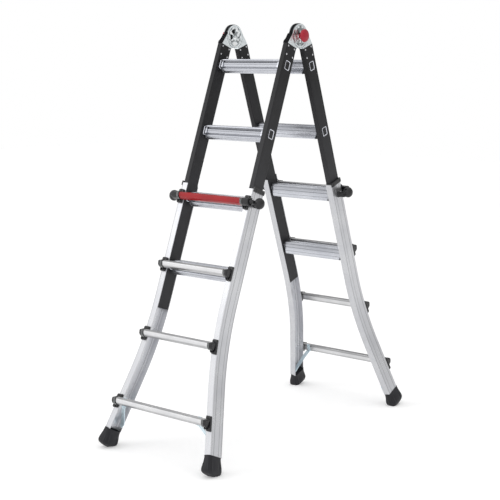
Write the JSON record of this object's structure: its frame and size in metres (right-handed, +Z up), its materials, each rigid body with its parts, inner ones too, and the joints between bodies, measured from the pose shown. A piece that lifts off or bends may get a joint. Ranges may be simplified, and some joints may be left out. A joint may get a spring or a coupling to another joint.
{
  "type": "multi position ladder",
  "caption": "Hinged telescopic ladder standing as an A-frame, with flared outer stiles, spring rung locks, locking hinges with push knobs and rubber feet.",
  "frame": {"origin": "on the floor, midway between the four feet, straight below the hinge axis", "axes": "+X along the rungs, -Y towards the front half with the red rung, +Z up"},
  "size_m": [0.5854, 1.3334, 1.6546],
  "materials": {
    "black_anodised": "satin black anodised extrusion",
    "rung_aluminium": "ribbed mill-finish extrusion",
    "mill_aluminium": "mill-finish extrusion with fine lengthwise lines",
    "red_coating": "satin red powder coat",
    "zinc_plated_steel": "bright zinc plating, slightly blue",
    "black_plastic": "moulded, fine grain",
    "red_plastic": "moulded, satin",
    "black_rubber": "moulded rubber"
  },
  "bodies": {
    "front_ladder": {"front_inner_stile_left": "black_anodised", "front_hinge_leaf_left": "zinc_plated_steel", "front_inner_stile_right": "black_anodised", "front_hinge_leaf_right": "zinc_plated_steel", "front_inner_rung_1": "rung_aluminium", "front_inner_rung_2": "rung_aluminium", "front_inner_rung_3": "rung_aluminium", "front_inner_rung_4": "rung_aluminium", "hinge_guard_left": "black_plastic", "hinge_guard_right": "black_plastic"},
    "rear_ladder": {"rear_inner_stile_left": "black_anodised", "rear_hinge_leaf_left": "zinc_plated_steel", "rear_inner_stile_right": "black_anodised", "rear_hinge_leaf_right": "zinc_plated_steel", "rear_inner_rung_1": "rung_aluminium", "rear_inner_rung_2": "rung_aluminium", "rear_inner_rung_3": "rung_aluminium", "rear_inner_rung_4": "rung_aluminium"},
    "front_extension": {"front_outer_stile_left": "mill_aluminium", "front_stile_collar_left": "black_plastic", "front_foot_left": "black_rubber", "front_bracket_1_left": "black_plastic", "front_bracket_2_left": "black_plastic", "front_bracket_3_left": "black_plastic", "front_bracket_4_left": "black_plastic", "front_outer_stile_right": "mill_aluminium", "front_stile_collar_right": "black_plastic", "front_foot_right": "black_rubber", "front_bracket_1_right": "black_plastic", "front_bracket_2_right": "black_plastic", "front_bracket_3_right": "black_plastic", "front_bracket_4_right": "black_plastic", "front_outer_rung_1": "red_coating", "front_outer_rung_2": "mill_aluminium", "front_outer_rung_3": "mill_aluminium", "front_outer_rung_4_braced": "mill_aluminium"},
    "rear_extension": {"rear_outer_stile_left": "mill_aluminium", "rear_stile_collar_left": "black_plastic", "rear_foot_left": "black_rubber", "rear_bracket_1_left": "black_plastic", "rear_bracket_2_left": "black_plastic", "rear_bracket_3_left": "black_plastic", "rear_bracket_4_left": "black_plastic", "rear_outer_stile_right": "mill_aluminium", "rear_stile_collar_right": "black_plastic", "rear_foot_right": "black_rubber", "rear_bracket_1_right": "black_plastic", "rear_bracket_2_right": "black_plastic", "rear_bracket_3_right": "black_plastic", "rear_bracket_4_right": "black_plastic", "rear_outer_rung_1": "mill_aluminium", "rear_outer_rung_2": "mill_aluminium", "rear_outer_rung_3": "mill_aluminium", "rear_outer_rung_4_braced": "mill_aluminium"},
    "front_lock_left": {"front_rung_lock_left": "black_plastic"},
    "front_lock_right": {"front_rung_lock_right": "black_plastic"},
    "rear_lock_left": {"rear_rung_lock_left": "black_plastic"},
    "rear_lock_right": {"rear_rung_lock_right": "black_plastic"},
    "release_knob_left": {"hinge_knob_left": "red_plastic"},
    "release_knob_right": {"hinge_knob_right": "red_plastic"}
  },
  "joints": [
    {"name": "main_hinge", "type": "hinge", "parent": "front_ladder", "child": "rear_ladder", "pos_m": [0, 0, 1.607], "axis": [1, 0, 0], "range_deg": [-40.1, 139.4]},
    {"name": "front_extension_slide", "type": "slide", "parent": "front_ladder", "child": "front_extension", "axis": [0, -0.3464, -0.9381], "range_m": [-0.56, 0.28]},
    {"name": "rear_extension_slide", "type": "slide", "parent": "rear_ladder", "child": "rear_extension", "axis": [0, 0.3464, -0.9381], "range_m": [-0.56, 0.28]},
    {"name": "front_lock_pull_left", "type": "slide", "parent": "front_extension", "child": "front_lock_left", "axis": [-1, 0, 0], "range_m": [0, 0.022], "stiffness_N_per_m": 500, "springref_m": -0.012},
    {"name": "front_lock_pull_right", "type": "slide", "parent": "front_extension", "child": "front_lock_right", "axis": [1, 0, 0], "range_m": [0, 0.022], "stiffness_N_per_m": 500, "springref_m": -0.012},
    {"name": "rear_lock_pull_left", "type": "slide", "parent": "rear_extension", "child": "rear_lock_left", "axis": [-1, 0, 0], "range_m": [0, 0.022], "stiffness_N_per_m": 500, "springref_m": -0.012},
    {"name": "rear_lock_pull_right", "type": "slide", "parent": "rear_extension", "child": "rear_lock_right", "axis": [1, 0, 0], "range_m": [0, 0.022], "stiffness_N_per_m": 500, "springref_m": -0.012},
    {"name": "release_knob_press_left", "type": "slide", "parent": "rear_ladder", "child": "release_knob_left", "axis": [1, 0, 0], "range_m": [0, 0.01], "stiffness_N_per_m": 800, "springref_m": -0.006},
    {"name": "release_knob_press_right", "type": "slide", "parent": "rear_ladder", "child": "release_knob_right", "axis": [-1, 0, 0], "range_m": [0, 0.01], "stiffness_N_per_m": 800, "springref_m": -0.006}
  ]
}
